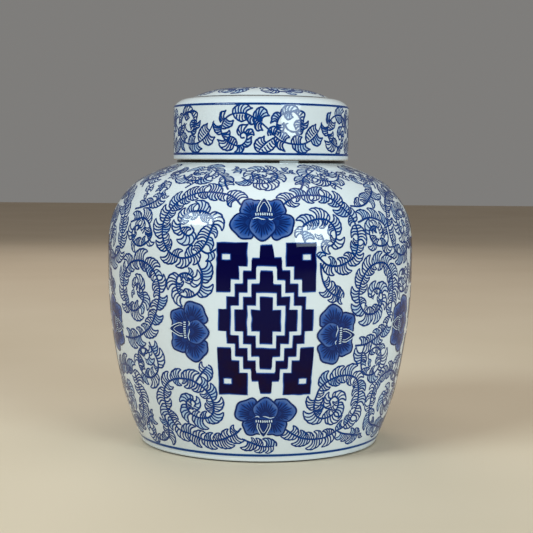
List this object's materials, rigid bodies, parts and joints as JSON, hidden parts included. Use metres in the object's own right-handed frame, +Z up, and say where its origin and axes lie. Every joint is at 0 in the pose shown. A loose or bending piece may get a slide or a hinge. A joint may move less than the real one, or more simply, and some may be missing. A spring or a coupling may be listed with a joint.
{
  "type": "ginger jar",
  "caption": "Round-shouldered porcelain ginger jar with a short upright neck and a lift-off cap lid, painted in cobalt blue on white.",
  "frame": {"origin": "centre of the foot ring, on the surface the jar stands on", "axes": "+Z up along the jar's axis, through the lid; -Y is the front, where one of the four painted panels is; +X is to the right of the front"},
  "size_m": [0.2292, 0.2292, 0.265],
  "materials": {
    "body_glaze": "gloss",
    "lid_glaze": "gloss"
  },
  "bodies": {
    "jar": {"jar_body": "body_glaze", "neck": "body_glaze"},
    "lid": {"lid": "lid_glaze"}
  },
  "joints": [
    {"name": "lid_lift", "type": "slide", "parent": "jar", "child": "lid", "axis": [0, 0, 1], "range_m": [0, 0.12]}
  ]
}
